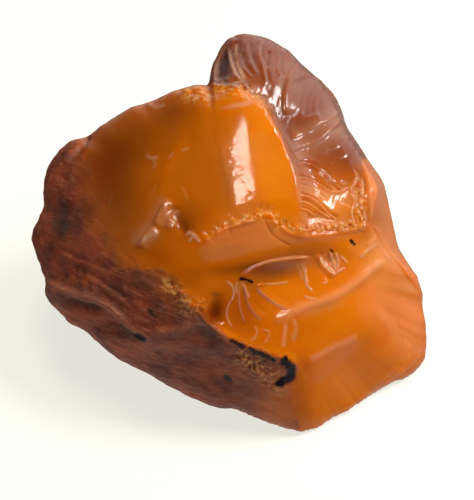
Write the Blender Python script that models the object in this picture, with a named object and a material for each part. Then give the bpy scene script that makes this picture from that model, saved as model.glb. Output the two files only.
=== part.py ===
"""A raw piece of amber, one solid, lying on the flat that it rests on.

The piece is built the way it came about: rounded blocks joined into one lump, then the fracture
faces and small chips knocked out of it with large and small spheres, then the flat underneath.
"""

import math

import bmesh
import bpy
from mathutils import Matrix, Vector
from mathutils.bvhtree import BVHTree

# Driving dimensions, in millimetres and degrees
VIEW_TILT = 42.0
CENTRE_HEIGHT = 23.6
FLOOR_CUT_SIZE = 120.0
CHIP_STEP = 1.0
LARGE_STEP = 1.6
LARGE_RIM = 6.0
FEWEST_AROUND = 12
FEWEST_DOWN = 10
# The face around a chip is judged at this share of its rim, on four sides
LOOK_AROUND = 0.6
FAR_OUT = 200.0
MM = 0.001

# The look of the material
AMBER_COLOUR = (0.78, 0.27, 0.03, 1.0)
AMBER_ROUGHNESS = 0.25
AMBER_IOR = 1.54
AMBER_TRANSMISSION = 0.6

# Corners of the three blocks as they are seen from the front, from VIEW_TILT above the horizon:
# (across to the right, up, out towards the eye), in millimetres from the middle of the piece.
UPPER_BLOCK = [
    # Top ridge
    (-8.7, 23.8, -6.0),
    (-3.3, 24.8, -3.0),
    (1.0, 24.3, 0.5),
    (5.1, 21.6, 4.0),
    (8.7, 15.1, 7.5),
    (10.6, 7.1, 9.5),
    (11.1, 1.2, 10.0),
    # Ridges that part the orange faces
    (-2.4, 20.6, 4.5),
    (-1.6, 14.0, 8.6),
    (1.6, 5.6, 12.6),
    (-6.0, 15.0, 5.0),
    (-10.3, 10.3, 5.5),
    (-14.0, 6.0, 5.8),
    # Lower rim of the orange faces
    (4.8, 3.0, 12.5),
    (-1.0, 2.2, 14.0),
    (-5.0, -2.5, 14.5),
    # Crust on the left
    (-20.6, 0.0, 4.5),
    (-24.0, 8.0, -1.0),
    (-22.0, 13.0, -4.0),
    (-15.9, -5.0, 9.0),
    (-8.0, -8.0, 13.0),
    # Rim of the crust
    (-27.0, -8.3, 0.5),
    (-23.0, -9.5, 4.5),
    (-19.0, -11.4, 7.5),
    (-12.7, -15.1, 10.2),
    (-4.8, -12.9, 13.0),
    # Under the orange faces, down to the valley
    (1.6, -6.5, 10.0),
    (8.7, -3.5, 7.5),
    (13.0, -2.8, 6.0),
    (18.3, -1.3, 3.0),
    # Left and upper outline
    (-32.0, 0.0, -8.0),
    (-31.2, 3.8, -8.0),
    (-30.0, 8.0, -9.0),
    (-29.9, 10.3, -9.0),
    (-28.0, 13.5, -10.0),
    (-25.8, 15.9, -10.5),
    (-22.9, 17.0, -11.0),
    (-16.2, 21.6, -10.0),
    # Lower left outline
    (-29.7, -7.6, -6.0),
    (-24.2, -12.6, -4.0),
    (-18.0, -17.7, -2.0),
    (-10.5, -22.4, -1.5),
    # Back
    (-24.0, 8.0, -24.0),
    (-12.0, 17.0, -27.0),
    (8.0, 20.0, -24.0),
    (16.0, 6.0, -26.0),
    (-20.0, -4.0, -27.0),
    (4.0, -3.1, -32.4),
    (-13.0, -8.4, -26.5),
    (-14.0, -19.1, -14.6),
]
LOWER_BLOCK = [
    # Ridge over the large lower face
    (25.7, -2.2, -4.0),
    (21.0, -5.9, 2.0),
    (15.9, -9.0, 6.5),
    (9.5, -11.6, 10.0),
    (5.6, -13.7, 11.5),
    (9.2, -19.2, 9.8),
    (10.3, -21.0, 8.5),
    # Valley under the orange faces
    (-3.0, -7.0, 12.0),
    (1.6, -5.9, 10.0),
    (5.1, -4.1, 8.8),
    (8.7, -2.9, 7.5),
    (13.0, -2.4, 6.0),
    (18.3, -0.6, 3.5),
    (22.1, 3.2, -1.0),
    (24.0, -1.0, -2.0),
    # Soft ridge across the large face
    (12.7, -18.3, 8.0),
    (16.0, -16.8, 6.0),
    (20.6, -13.5, 3.0),
    # Rim of the crust below the valley
    (-12.7, -15.1, 10.0),
    (-4.8, -13.6, 12.7),
    (-0.3, -15.8, 12.6),
    (4.2, -17.8, 11.6),
    # Right outline
    (25.0, 5.6, -11.0),
    (26.7, 0.0, -11.0),
    (28.8, -3.5, -10.0),
    (30.7, -7.2, -11.0),
    (31.3, -11.1, -11.5),
    (31.7, -16.1, -13.0),
    (31.2, -19.0, -12.5),
    (28.2, -22.1, -10.0),
    (23.3, -25.4, -7.0),
    (16.9, -29.2, -3.5),
    # Foot
    (11.1, -31.3, -1.0),
    (5.1, -28.8, 0.0),
    (1.6, -27.0, 0.0),
    (-4.0, -25.9, -2.0),
    (-10.5, -22.4, -1.5),
    (-3.0, -25.8, -7.1),
    (26.0, -22.5, -11.0),
    # Back
    (24.0, -8.4, -26.5),
    (27.0, -2.0, -20.0),
    (12.0, 4.0, -26.0),
    (-14.0, -19.1, -14.6),
    (-13.0, -8.4, -26.5),
    (4.0, -3.1, -32.4),
]
FIN_BLOCK = [
    # Ridge shared with the orange faces
    (1.0, 24.3, 0.5),
    (5.1, 21.6, 4.0),
    (8.7, 15.1, 7.5),
    (10.6, 7.1, 9.5),
    (11.1, 1.2, 10.0),
    # Foot of the fin
    (21.6, 2.4, 1.0),
    (22.1, 3.8, -0.5),
    (22.5, 7.3, -2.0),
    (20.6, 11.9, -5.0),
    (24.0, -1.0, -3.0),
    # Under the fin, down to the valley
    (13.0, -2.6, 5.5),
    (18.3, -1.0, 3.0),
    # Outline of the fin, from its left side round the tip and down the right
    (-3.4, 25.0, -6.0),
    (-2.6, 29.0, -12.0),
    (-1.2, 31.6, -15.0),
    (0.3, 33.0, -16.0),
    (2.4, 33.5, -17.0),
    (5.1, 33.0, -18.0),
    (8.1, 31.4, -18.5),
    (10.5, 29.0, -19.0),
    (13.2, 26.2, -19.0),
    (15.7, 23.9, -19.0),
    (17.4, 21.0, -18.0),
    (18.8, 18.1, -17.0),
    (20.2, 14.5, -15.0),
    (21.8, 12.1, -13.0),
    (23.4, 9.2, -12.0),
    (25.0, 5.6, -11.0),
    (26.7, 0.0, -11.0),
    # Back of the fin, down to the foot of the piece
    (-1.0, 27.0, -20.0),
    (3.0, 29.0, -24.0),
    (12.0, 24.0, -26.0),
    (20.0, 13.0, -25.0),
    (25.0, 2.0, -24.0),
    (-6.0, 14.0, -29.0),
    (6.0, 12.0, -33.0),
    (15.0, 6.0, -32.5),
    (2.0, -1.0, -33.5),
]


# Fracture faces and chips knocked out of each block: where the middle of the chip is seen
# (across, up), the radius of its rim and its depth, in millimetres.
UPPER_CHIPS = [
    # Orange faces
    (4.8, 12.5, 8.0, 0.9),
    (-5.8, 8.0, 8.0, 0.7),
    (-15.0, 13.5, 9.0, 0.7),
    # Notch at the left end
    (-29.6, 5.2, 2.4, 0.6),
    # Groove under the rim of the crust
    (-22.5, -11.2, 2.4, 0.6),
    (-19.2, -13.4, 2.8, 0.8),
    (-15.6, -15.8, 2.6, 0.7),
]
LOWER_CHIPS = [
    # Shells in the valley
    (7.6, -5.6, 4.6, 1.1),
    (1.6, -9.6, 4.0, 1.1),
    (7.4, -9.9, 2.8, 0.7),
    (16.2, -4.0, 3.0, 0.7),
    # Large face below its soft ridge
    (18.5, -21.0, 9.0, 0.8),
    # Hollow in the side of the crust
    (-2.0, -21.0, 7.0, 0.7),
]
FIN_CHIPS = [
    (14.2, 17.0, 13.0, 1.8),
    (16.0, 7.0, 6.0, 0.8),
    (-1.4, 28.5, 4.0, 0.5),
]
# The same on the far side, where across and up are still those of the front.
UPPER_BACK_CHIPS = [
    (-16.0, 3.0, 12.0, 2.0),
]
LOWER_BACK_CHIPS = [
    (18.0, -4.0, 9.0, 1.5),
]
FIN_BACK_CHIPS = [
    (12.0, 20.0, 9.0, 1.3),
]


def in_frame(seen):
    """The point of the standing part for a point given as it is seen, in metres."""
    return (turned(seen) + Vector((0.0, 0.0, CENTRE_HEIGHT))) * MM


def turned(seen):
    """The direction in the standing part for a direction given as it is seen."""
    across, up, out = seen
    tilt = math.radians(VIEW_TILT)
    back = up * math.sin(tilt) - out * math.cos(tilt)
    height = up * math.cos(tilt) + out * math.sin(tilt)
    return Vector((across, back, height))


def new_object(name, bm, collection):
    mesh = bpy.data.meshes.new(name)
    bm.to_mesh(mesh)
    bm.free()
    made = bpy.data.objects.new(name, mesh)
    collection.objects.link(made)
    return made


def amber_material():
    """Deep orange, see-through and slightly satin."""
    material = bpy.data.materials.new("amber")
    material.use_nodes = True
    shader = material.node_tree.nodes["Principled BSDF"]
    shader.inputs["Base Color"].default_value = AMBER_COLOUR
    shader.inputs["Roughness"].default_value = AMBER_ROUGHNESS
    shader.inputs["Metallic"].default_value = 0.0
    shader.inputs["IOR"].default_value = AMBER_IOR
    shader.inputs["Transmission Weight"].default_value = AMBER_TRANSMISSION
    return material


def block(name, corners, collection):
    """The convex block that spans these corners."""
    bm = bmesh.new()
    for corner in corners:
        bm.verts.new(in_frame(corner))
    hull = bmesh.ops.convex_hull(bm, input=bm.verts)
    inside = [item for item in hull["geom_interior"] if isinstance(item, bmesh.types.BMVert)]
    bmesh.ops.delete(bm, geom=inside, context="VERTS")
    bmesh.ops.recalc_face_normals(bm, faces=bm.faces)
    return new_object(name, bm, collection)


def struck(tree, across, up, side):
    """Where a blow along the line of sight meets the block, and the way the face looks there."""
    eye = in_frame((across, up, side * FAR_OUT))
    travel = turned((0.0, 0.0, -side))
    place, looks, _, _ = tree.ray_cast(eye, travel)
    return place, looks


def chip(name, tree, side, row, collection):
    """The ball that knocks one hollow out of the block."""
    across, up, rim, depth = row
    place, outward = struck(tree, across, up, side)
    gap = LOOK_AROUND * rim
    for step_across, step_up in ((-1, 0), (1, 0), (0, -1), (0, 1)):
        beside, looks = struck(tree, across + step_across * gap, up + step_up * gap, side)
        if beside is not None:
            outward = outward + looks
    outward.normalize()
    radius = (rim * rim + depth * depth) / (2.0 * depth)
    middle = place + outward * (radius - depth) * MM
    step = LARGE_STEP if rim > LARGE_RIM else CHIP_STEP
    turn = outward.to_track_quat("Z", "Y").to_matrix().to_4x4()
    bm = bmesh.new()
    bmesh.ops.create_uvsphere(
        bm,
        u_segments=max(FEWEST_AROUND, round(2.0 * math.pi * rim / step)),
        v_segments=max(FEWEST_DOWN, round(math.pi * radius / step)),
        radius=radius * MM,
        matrix=Matrix.Translation(middle) @ turn,
    )
    for face in bm.faces:
        face.smooth = True
    return new_object(name, bm, collection)


def boolean(target, operation, other):
    other.hide_render = True
    other.display_type = "WIRE"
    modifier = target.modifiers.new(other.name, "BOOLEAN")
    modifier.operation = operation
    modifier.solver = "EXACT"
    modifier.object = other


def chipped_block(name, corners, front_chips, back_chips, collection, cutters):
    """A convex block with its chips knocked out of it."""
    made = block(name, corners, collection)
    tree = BVHTree.FromPolygons(
        [corner.co.copy() for corner in made.data.vertices],
        [tuple(face.vertices) for face in made.data.polygons],
    )
    blows = [(1.0, row) for row in front_chips] + [(-1.0, row) for row in back_chips]
    for number, (side, row) in enumerate(blows, start=1):
        cutter = chip(f"{name}_chip_{number}", tree, side, row, cutters)
        boolean(made, "DIFFERENCE", cutter)
    return made


def floor_cutter(collection):
    """Everything below the flat that the piece rests on."""
    bm = bmesh.new()
    bmesh.ops.create_cube(bm, size=FLOOR_CUT_SIZE * MM)
    bmesh.ops.translate(bm, verts=bm.verts, vec=(0.0, 0.0, -0.5 * FLOOR_CUT_SIZE * MM))
    return new_object("floor_cutter", bm, collection)


def main():
    for old in list(bpy.data.objects):
        bpy.data.objects.remove(old)
    scene = bpy.context.scene.collection
    parts = bpy.data.collections.new("amber piece")
    cutters = bpy.data.collections.new("cutters")
    scene.children.link(parts)
    scene.children.link(cutters)
    amber = chipped_block("amber_piece", UPPER_BLOCK, UPPER_CHIPS, UPPER_BACK_CHIPS, parts, cutters)
    lower = chipped_block("lower_block", LOWER_BLOCK, LOWER_CHIPS, LOWER_BACK_CHIPS, cutters, cutters)
    fin = chipped_block("fin_block", FIN_BLOCK, FIN_CHIPS, FIN_BACK_CHIPS, cutters, cutters)
    amber.data.materials.append(amber_material())
    boolean(amber, "UNION", lower)
    boolean(amber, "UNION", fin)
    boolean(amber, "DIFFERENCE", floor_cutter(cutters))


main()
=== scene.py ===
"""The looks of a raw amber piece: its fine fracture surface, its crust and its see-through resin.

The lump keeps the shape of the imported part. Its surface is remeshed finely, and the marks that the
photograph shows are then pressed into it where the photograph shows them.
"""

import math

import bmesh
import bpy
import numpy as np
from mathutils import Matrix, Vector, noise
from mathutils.bvhtree import BVHTree

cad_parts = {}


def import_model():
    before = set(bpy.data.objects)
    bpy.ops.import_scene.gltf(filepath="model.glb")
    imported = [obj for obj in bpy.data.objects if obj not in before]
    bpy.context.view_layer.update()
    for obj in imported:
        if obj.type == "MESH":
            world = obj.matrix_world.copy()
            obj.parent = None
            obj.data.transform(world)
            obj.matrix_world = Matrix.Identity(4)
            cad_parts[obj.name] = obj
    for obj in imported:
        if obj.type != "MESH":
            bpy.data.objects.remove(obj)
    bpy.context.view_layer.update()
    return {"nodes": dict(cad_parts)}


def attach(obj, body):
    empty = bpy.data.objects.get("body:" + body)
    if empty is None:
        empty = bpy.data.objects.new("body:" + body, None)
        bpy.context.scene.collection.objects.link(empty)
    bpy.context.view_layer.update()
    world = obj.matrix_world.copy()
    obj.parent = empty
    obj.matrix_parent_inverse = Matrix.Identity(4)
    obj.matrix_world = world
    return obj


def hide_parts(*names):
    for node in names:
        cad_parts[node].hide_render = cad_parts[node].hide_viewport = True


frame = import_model()

# The photograph's frame and how it sees the piece. A real pixel is 1 / PIXELS_PER_MM millimetres.
PHOTO_WIDTH = 474
PHOTO_HEIGHT = 500
PIXELS_PER_MM = 6.3
MIDDLE_PIXEL = (230.0, 240.0)
MIDDLE_HEIGHT = 0.0236
VIEW_TILT = math.radians(42.0)
CAMERA_DISTANCE = 1.2
SENSOR_WIDTH = 36.0
MM = 0.001

# The view's own axes: to the right, up, and out towards the camera
ACROSS = np.array((1.0, 0.0, 0.0))
UP = np.array((0.0, math.sin(VIEW_TILT), math.cos(VIEW_TILT)))
OUT = np.array((0.0, -math.cos(VIEW_TILT), math.sin(VIEW_TILT)))
MIDDLE = np.array((0.0, 0.0, MIDDLE_HEIGHT))

# Remeshing, in metres: corners closer than the weld are one, and points lower than the ground are the
# foot. Points below the guard move less than those above it.
WELD = 1e-7
VOXEL = 0.00072
GROUND = 0.00002
FLOOR_GUARD = 0.0012
TINY = 1e-9

# Ranges of how squarely the surface looks at the camera, from 0 at its edge to 1, and the least at
# which a face is refined
FACING = 0.02
KEPT_FACING = (-0.1, 0.2)
MARKED_FACING = (0.04, 0.22)
CRUST_FACING = (-0.15, 0.05)
PAINTED_FACING = (0.0, 0.15)

# The outline of the piece in the photograph, clockwise from the tip of the fin, in pixels
OUTLINE = [
    (243, 33), (262, 36), (275, 42), (290, 50), (298, 60), (308, 70), (320, 80), (328, 90),
    (335, 100), (342, 112), (348, 128), (358, 143), (367, 158), (374, 168), (380, 176), (385, 186),
    (388, 200), (391, 215), (395, 232), (399, 248), (407, 261), (416, 275), (421, 290), (423, 308),
    (426, 322), (427, 340), (425, 358), (416, 370), (404, 379), (388, 388), (376, 393), (366, 402),
    (350, 414), (335, 421), (318, 433), (301, 436), (284, 431), (262, 421), (248, 413), (238, 409),
    (222, 408), (208, 406), (192, 399), (178, 389), (160, 379), (140, 368), (122, 359), (105, 348),
    (95, 340), (88, 333), (72, 325), (58, 313), (48, 301), (44, 292), (45, 280), (40, 268),
    (35, 255), (30, 240), (32, 228), (38, 217), (44, 207), (42, 196), (44, 180), (50, 163),
    (60, 149), (70, 140), (86, 136), (98, 127), (112, 119), (121, 113), (132, 106), (142, 104),
    (156, 99), (172, 91), (186, 87), (200, 84), (209, 84), (210, 68), (213, 60), (220, 48),
    (230, 36),
]
# The outline is fitted in this many directions, and the lump is shifted from this share outwards
OUTLINE_FROM = 0.72
OUTLINE_BINS = 360

# The photograph's zones, in pixels
LEFT_SKIN = [
    (95, 120), (80, 150), (86, 190), (100, 232), (125, 262), (150, 276), (60, 295), (15, 280),
    (15, 150), (60, 115),
]
LOWER_SKIN = [
    (30, 272), (84, 280), (128, 266), (160, 268), (182, 288), (195, 308), (222, 333), (245, 347),
    (290, 360), (297, 372), (288, 392), (296, 415), (306, 450), (180, 430), (15, 320),
]
FIN_ZONE = [
    (209, 84), (240, 88), (262, 100), (275, 120), (285, 146), (294, 175), (298, 200), (300, 234),
    (366, 232), (372, 220), (368, 190), (362, 160), (380, 150), (350, 60), (262, 20), (200, 40),
]

# Where the photograph shows the smallest marks: left, right, top and bottom, in pixels
RICH_BOXES = [
    (200, 350, 215, 335),
    (295, 375, 150, 240),
]

# Edges that stay while the lump is softened, then their half width in pixels, how firm they are, and
# how many rounds of softening there are, each of this step
KEPT_EDGES = [
    [(220, 152), (224, 165), (229, 178), (232, 190), (236, 206)],
    [(209, 84), (225, 86), (245, 90), (262, 102), (275, 120), (286, 150), (296, 185), (300, 235)],
    [(200, 244), (225, 229), (262, 217), (300, 235), (345, 233), (366, 226)],
    [(200, 275), (240, 277), (262, 266), (300, 257), (345, 248), (372, 236)],
    [(276, 322), (300, 307), (345, 290), (388, 256)],
    [(360, 150), (370, 190), (372, 228), (390, 254), (419, 290)],
    [(45, 280), (80, 297), (104, 306), (122, 322), (150, 335), (200, 325), (240, 345), (290, 362)],
    [(208, 84), (214, 66), (222, 48), (236, 35)],
]
KEPT_WIDTH = 5.0
KEPT_FIRMNESS = 0.97
SOFTENING = 50
RELAX_STEP = 0.5
# Rounds of softening after the refining
LAST_ROUNDS = 2

# Where the surface is crumbled: half width in pixels, then the pixels along the middle
CRUMBLED = [
    (7.0, [(186, 94), (198, 97), (214, 89), (232, 89), (248, 94), (262, 104)]),
    (4.0, [(216, 230), (230, 223), (246, 219), (262, 216)]),
    (6.0, [(262, 208), (270, 214), (276, 222)]),
    (4.0, [(284, 222), (298, 230), (318, 228), (345, 226), (362, 226)]),
    (4.0, [(358, 180), (362, 200), (360, 220)]),
    (8.0, [(244, 356), (262, 370), (278, 384)]),
    (8.0, [(170, 285), (185, 300), (196, 306)]),
]

# The facet with the strongest highlight
HIGHLIT = [(228, 150), (236, 170), (241, 188), (243, 203)]

# Soft spots of colour in the photograph's frame: amount, middle across and down, radii, tilt
# Partly thicker resin, partly painted shade: the left faces turned from the light and the strip under
# the band
DEPTH_AND_SHADE_SPOTS = [
    (0.75, 112, 150, 60, 34, -25),
    (0.70, 115, 205, 40, 44, 0),
    (0.40, 176, 110, 26, 16, -20),
    (0.45, 188, 216, 20, 16, 0),
    (0.30, 150, 250, 30, 14, 20),
    (0.55, 245, 268, 50, 7, -6),
    (0.90, 214, 312, 9, 16, 20),
    (0.40, 240, 320, 24, 14, 20),
    (0.45, 276, 272, 24, 7, -8),
    (0.30, 300, 262, 60, 8, -8),
    (0.25, 300, 400, 18, 40, 0),
    (0.35, 226, 252, 26, 8, -8),
    (0.40, 244, 302, 24, 20, 10),
    (0.20, 310, 328, 26, 12, -24),
    (0.35, 188, 230, 14, 12, 0),
]
# The same where the skin is thin
THIN_SKIN = [
    (0.75, 286, 408, 26, 26, 30),
    (0.45, 172, 276, 26, 20, 40),
]
# The flat band, and how much painted sheen, a painted reflection, lies on it
BAND_SHEEN = 0.14
BAND_ZONE = [
    (198, 250), (212, 237), (226, 230), (262, 218), (278, 228), (300, 237), (345, 234), (366, 229),
    (345, 239), (300, 243), (262, 250), (225, 260), (204, 262),
]
# Soft spots of painted shade in near black, painted light in yellow, painted sheen and frost, and, on
# the crust, dark grey
PAINTED_SHADE_SPOTS = [
    (0.95, 225, 62, 7, 22, 12),
    (0.35, 278, 105, 7, 26, -20),
    (0.25, 352, 158, 9, 14, 30),
    (0.20, 250, 58, 14, 14, 0),
    (0.25, 378, 218, 8, 16, -15),
]
# Painted light: brighter, yellower orange where light shines through the resin
PAINTED_GLOW_SPOTS = [
    (0.50, 330, 205, 30, 16, 0),
    (0.40, 268, 160, 18, 60, -12),
    (0.30, 345, 310, 60, 30, -30),
    (0.45, 375, 258, 20, 20, 0),
    (0.25, 285, 290, 30, 10, 10),
]
# Painted highlights and reflections, and the pale frosted edge at the right
SHEEN_AND_FROST_SPOTS = [
    (0.10, 392, 240, 5, 30, -20),
    (0.14, 378, 195, 7, 24, -10),
    (0.22, 286, 264, 22, 7, -8),
    (0.12, 350, 375, 30, 20, -30),
    (0.10, 405, 350, 24, 44, 10),
    (0.10, 240, 150, 20, 16, 0),
    (0.10, 66, 250, 50, 60, 0),
    (0.30, 238, 180, 12, 28, -10),
    (0.30, 332, 198, 18, 10, 0),
    (0.25, 322, 222, 20, 7, 0),
    (0.50, 148, 237, 9, 5, -20),
    (0.35, 331, 264, 10, 8, 20),
]
STAINS = [
    (0.80, 62, 226, 12, 12, 0),
    (0.60, 110, 152, 14, 7, -20),
    (0.65, 215, 330, 30, 10, 32),
    (0.50, 246, 388, 14, 10, 0),
    (0.40, 90, 304, 34, 6, 14),
    (0.45, 130, 332, 18, 5, 30),
]
# Black specks: half width in pixels, then the pixels along the middle
SOOT_LINES = [
    (2.5, [(231, 340), (238, 344), (243, 347)]),
    (2.6, [(250, 349), (258, 353), (268, 357), (274, 360)]),
    (5.5, [(284, 361), (290, 366), (291, 374), (285, 380), (280, 384)]),
    (1.8, [(241, 279), (247, 280), (252, 282)]),
    (2.0, [(351, 241), (354, 244)]),
    (1.2, [(331, 250), (333, 252)]),
    (2.0, [(149, 310), (152, 313), (156, 316)]),
    (2.6, [(226, 377), (230, 380)]),
    (3.0, [(136, 336), (144, 339)]),
]

# Colours, as the shader takes them
FRESH = (0.74, 0.185, 0.002, 1.0)
FRESH_CLOUD = (0.52, 0.125, 0.002, 1.0)
# Deep red brown of thick resin, also laid on as painted shade
DEEP_AND_SHADED = (0.20, 0.032, 0.002, 1.0)
# Painted light glowing through the resin
PAINTED_GLOW = (0.82, 0.27, 0.001, 1.0)
FIN = (0.24, 0.05, 0.015, 1.0)
# Golden specks of painted glints on crumbled edges
CRUMB_GLINT = (0.85, 0.42, 0.12, 1.0)
# Near black of painted shade on the fin's dark facets
PAINTED_SHADE = (0.045, 0.004, 0.004, 1.0)
# Pale peach of painted sheen and highlights, and of frosted edges
SHEEN_AND_FROST = (0.75, 0.42, 0.26, 1.0)
SKIN = (0.26, 0.042, 0.012, 1.0)
SKIN_DARK = (0.09, 0.014, 0.008, 1.0)
SKIN_FIBRE = (0.32, 0.13, 0.07, 1.0)
STAIN = (0.045, 0.03, 0.026, 1.0)
SOOT = (0.008, 0.006, 0.008, 1.0)

# Grain of the colours: scale and detail of the noise, and the values that become 0 and 1
CLOUDS = {"scale": 130.0, "detail": 2.0, "low": 0.3, "high": 0.7}
PATCHES = {"scale": 220.0, "detail": 5.0, "low": 0.38, "high": 0.62}
# Specks of the painted glints
GLINT_GRAINS = {"scale": 1500.0, "detail": 3.0, "low": 0.45, "high": 0.7}
FIBRES = {
    "scale": 1400.0, "detail": 4.0, "low": 0.38, "high": 0.66, "length": 6.0, "turn": (0.0, 0.0, -38.0),
}
NOISE_ROUGHNESS = 0.6
CLOUD_SHARE = 0.35
FIBRE_SHARE = 0.3

# The resin and its surface
FRESH_ROUGHNESS = 0.10
PATCH_ROUGHNESS = 0.10
CRUST_ROUGHNESS = 0.55
FRESH_CLEAR = 0.35
AMBER_IOR = 1.54
SCATTER = 0.6
SCATTER_RADIUS = (1.0, 0.3, 0.05)
SCATTER_SCALE = 0.004
ABSORPTION_COLOUR = (0.93, 0.65, 0.05, 1.0)
ABSORPTION_DENSITY = 300.0
BUMP_DISTANCE = 0.0003
BUMP_FIBRES = 0.35
BUMP_FRESH = 0.05
BUMP_CRUST = 0.75

# The floor
FLOOR_SIZE = 3.0
FLOOR_COLOUR = (0.25, 0.247, 0.228, 1.0)
FLOOR_ROUGHNESS = 0.9
FLOOR_GLOW = (1.0, 0.985, 0.9, 1.0)
FLOOR_GLOW_STRENGTH = 0.75

# The studio's bright wall. Each row has where along one axis it starts to change and where it is
# done, then its value before and after.
WALL = (0.85, 0.84, 0.8, 1.0)
DARKNESS = 0.01
WALL_BEHIND = (-0.15, 0.35, 0.0, 1.0)
WALL_TO_RIGHT = (-0.55, 0.0, 0.06, 1.0)
WALL_TOP = (0.30, 0.52, 1.0, 0.0)
WALL_BOTTOM = (-0.45, -0.1, 0.3, 1.0)
GLOW_BELOW = (-0.8, -0.45, 0.5, 0.0)

# Lights: name, azimuth and elevation in degrees, size in metres, power in watts and colour
LIGHT_DISTANCE = 0.6
MAIN_LIGHT = ("right", 85.0, 56.0, 0.3, 5.0, (1.0, 0.96, 0.9))
OVERHEAD_LIGHT = ("overhead", -60.0, 86.0, 0.24, 1.7, (1.0, 0.93, 0.82))
BACK_LIGHT = ("back", 58.0, 20.0, 0.12, 0.6, (1.0, 0.97, 0.95))

# Marks on the surface, as the photograph shows them. Each row has the kind of mark, its half width
# in pixels, its height in millimetres, how pale its edge is, and the pixels along it. On the fresh
# faces the pale edge is a painted highlight. A mark with a negative height is pressed in. A ledge
# stands along its line and slopes down to the right of the line's direction, a tent slopes down on
# both sides, and a wave is high on its right only.
FIN_MARKS = [
    # Left side face, the dark facet beside it and its two seams
    ("crest", 2.0, 0.22, 0.2, [(214, 88), (215, 72), (219, 57), (229, 42)]),
    ("ledge", 15.0, 0.60, 0.0, [(237, 38), (233, 50), (233, 64), (239, 82)]),
    ("crest", 1.0, 0.14, 0.5, [(228, 46), (230, 58), (234, 70), (243, 82)]),
    ("crest", 1.1, 0.18, 0.8, [(237, 42), (236, 52), (238, 66), (246, 80)]),
    ("wave", 2.6, 0.14, 0.0, [(248, 40), (250, 56), (258, 74)]),
    ("wave", 2.2, 0.22, 0.1, [(264, 38), (260, 50), (264, 64), (268, 84)]),
    ("crest", 1.4, -0.35, 0.0, [(269, 50), (268, 58), (268, 67)]),
    ("wave", 2.0, 0.18, 0.0, [(275, 44), (280, 56), (279, 68), (284, 78)]),
    ("wave", 2.0, 0.16, 0.0, [(286, 50), (292, 60), (300, 66)]),
    ("wave", 2.2, 0.16, 0.0, [(240, 52), (243, 64), (252, 76)]),
    # The large hollow and its edge on the left
    ("ledge", 18.0, 0.42, 0.1, [(285, 116), (283, 98), (286, 82), (290, 70), (299, 60)]),
    ("crest", 14.0, -0.35, 0.0, [(302, 76), (308, 95), (314, 116)]),
    ("wave", 2.2, 0.08, 0.0, [(326, 84), (318, 104), (321, 122)]),
    ("wave", 2.2, 0.06, 0.0, [(316, 78), (306, 98), (304, 118)]),
    # The arcs below it
    ("ledge", 11.0, 0.42, 0.2, [(342, 110), (330, 121), (318, 126), (307, 134), (290, 141)]),
    ("ledge", 12.0, 0.42, 0.2, [(345, 118), (331, 131), (320, 141), (308, 146), (290, 152)]),
    ("crest", 1.2, -0.20, 0.0, [(336, 116), (322, 127), (310, 131), (296, 138)]),
    ("wave", 3.0, 0.08, 0.0, [(352, 136), (340, 146), (322, 153)]),
    ("wave", 2.4, 0.07, 0.0, [(356, 148), (344, 157), (330, 162)]),
    # Ripples that run down to the right
    ("wave", 1.6, 0.30, 0.0, [(296, 162), (308, 163), (318, 168), (330, 179), (341, 187), (353, 184)]),
    ("wave", 1.5, 0.18, 0.0, [(300, 168), (311, 169), (321, 177), (331, 186), (340, 191)]),
    ("wave", 1.6, 0.26, 0.0, [(296, 177), (308, 178), (318, 183), (329, 190), (338, 191), (348, 187)]),
    ("wave", 1.5, 0.14, 0.0, [(300, 185), (310, 188), (318, 193), (326, 200)]),
    ("wave", 1.6, 0.30, 0.0, [(299, 194), (310, 197), (319, 203), (328, 212), (339, 219)]),
    ("wave", 1.5, 0.24, 0.0, [(299, 201), (309, 203), (319, 210), (333, 218)]),
    ("wave", 1.4, 0.16, 0.0, [(300, 208), (308, 210), (316, 215)]),
    # The two bright hollows at the foot, and the crumbled ridge beside them
    ("crest", 8.0, -0.35, 0.0, [(350, 176), (352, 190), (346, 206)]),
    ("crest", 4.5, -0.35, 0.0, [(306, 219), (320, 217), (340, 220)]),
    ("wave", 1.4, 0.20, 0.4, [(353, 168), (358, 178), (352, 188), (357, 198), (352, 212), (356, 226)]),
    ("wave", 1.4, 0.20, 0.4, [(362, 176), (363, 190), (361, 204), (366, 218), (362, 230)]),
]
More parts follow.
